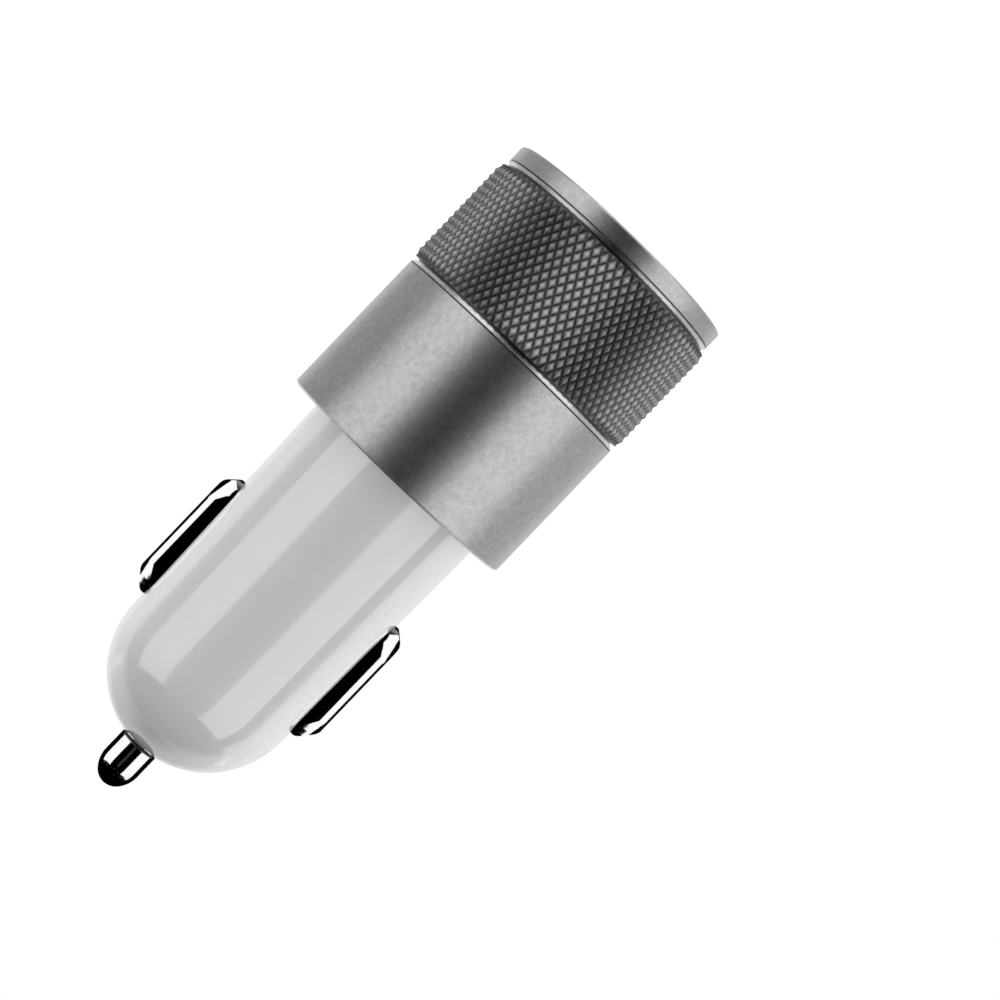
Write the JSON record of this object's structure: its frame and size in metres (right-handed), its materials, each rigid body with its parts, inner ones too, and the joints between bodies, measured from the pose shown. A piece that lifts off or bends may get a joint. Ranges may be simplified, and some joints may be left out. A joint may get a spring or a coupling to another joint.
{
  "type": "car usb charger plug",
  "caption": "Round car charger plug: white barrel with sprung centre tip and side contacts, knurled metal sleeve, two charging sockets in the end face.",
  "frame": {"origin": "centre of the sleeve's rim face at the socket end, on the surface that the plug stands on", "axes": "+Z along the plug's axis from the socket end towards the centre tip, +X from the left to the right side contact, +Y from the front to the back socket"},
  "size_m": [0.0266, 0.0266, 0.071],
  "materials": {
    "satin_aluminium": "bead-blasted satin with bright cut bevels",
    "white_gloss_plastic": "high gloss",
    "white_face_plastic": "fine satin",
    "board_laminate": "green solder mask",
    "socket_steel": "tin plated",
    "tongue_plastic": "satin",
    "gilt_contact": "gilt",
    "tip_chrome": "polished",
    "spring_steel": "drawn wire",
    "seat_brass": "stamped",
    "contact_chrome": "polished",
    "ferrite": "ground ferrite",
    "copper_wire": "enamelled wire",
    "can_aluminium": "drawn can",
    "chip_plastic": "moulded epoxy",
    "fuse_ceramic": "ceramic with tinned ends",
    "resistor_body": "glazed with tinned ends",
    "capacitor_body": "ceramic with tinned ends"
  },
  "bodies": {
    "housing": {"sleeve": "satin_aluminium", "barrel": "white_gloss_plastic", "face_plate": "white_face_plastic", "circuit_board": "board_laminate", "usb_shell_front": "socket_steel", "usb_shell_back": "socket_steel", "usb_tongue_front": "tongue_plastic", "usb_tongue_back": "tongue_plastic", "usb_contacts_front": "gilt_contact", "usb_contacts_back": "gilt_contact", "tip_spring": "spring_steel", "spring_seat": "seat_brass", "inductor_core": "ferrite", "inductor_winding": "copper_wire", "input_capacitor": "can_aluminium", "output_capacitor": "can_aluminium", "converter_chip": "chip_plastic", "charge_chip": "chip_plastic", "rectifier_diode": "chip_plastic", "input_fuse": "fuse_ceramic", "chip_resistors": "resistor_body", "chip_capacitors": "capacitor_body"},
    "tip": {"tip_contact": "tip_chrome"},
    "left_contact": {"side_contact_left": "contact_chrome"},
    "right_contact": {"side_contact_right": "contact_chrome"}
  },
  "joints": [
    {"name": "tip_slide", "type": "slide", "parent": "housing", "child": "tip", "axis": [0, 0, -1], "range_m": [0, 0.003], "stiffness_N_per_m": 1000, "springref_m": -0.003, "deforming": ["tip_spring"]},
    {"name": "left_contact_slide", "type": "slide", "parent": "housing", "child": "left_contact", "axis": [1, 0, 0], "range_m": [0, 0.0011], "stiffness_N_per_m": 2500, "springref_m": -0.0006},
    {"name": "right_contact_slide", "type": "slide", "parent": "housing", "child": "right_contact", "axis": [-1, 0, 0], "range_m": [0, 0.0011], "stiffness_N_per_m": 2500, "springref_m": -0.0006}
  ]
}
